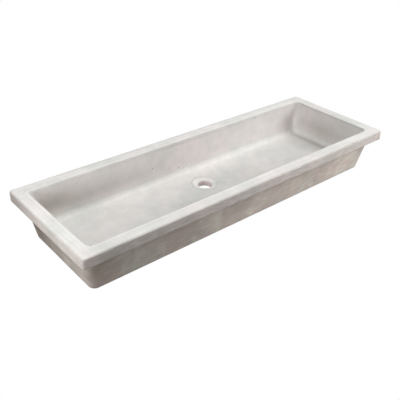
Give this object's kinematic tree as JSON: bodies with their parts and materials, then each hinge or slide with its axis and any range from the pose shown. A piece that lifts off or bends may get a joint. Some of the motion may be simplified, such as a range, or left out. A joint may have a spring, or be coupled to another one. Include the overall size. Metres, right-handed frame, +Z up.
{
  "type": "trough sink",
  "caption": "Long rectangular cast concrete trough sink with a flat overhanging rim, leaning walls, a coved basin and a dished drain hole.",
  "frame": {"origin": "centre of the flat underside's bounding box: under the middle of the rim, on the plane the trough stands on", "axes": "+X along the trough to its right-hand end, +Y towards the back, where the drain is nearer, and +Z up out of the basin"},
  "size_m": [1.22, 0.406, 0.15],
  "materials": {
    "concrete": "matte, trowelled and moulded cast concrete, sealed",
    "steel_rod": "galvanised rod",
    "steel_bar": "galvanised bar"
  },
  "bodies": {
    "root": {"trough_casting": "concrete", "rim_rod": "steel_rod", "drain_ring": "steel_bar", "cross_bar_1": "steel_bar", "cross_bar_2": "steel_bar", "cross_bar_3": "steel_bar", "cross_bar_4": "steel_bar", "cross_bar_5": "steel_bar", "cross_bar_6": "steel_bar", "cross_bar_7": "steel_bar", "cross_bar_8": "steel_bar", "floor_bar_1": "steel_bar", "floor_bar_2": "steel_bar", "floor_bar_3": "steel_bar"}
  },
  "joints": []
}
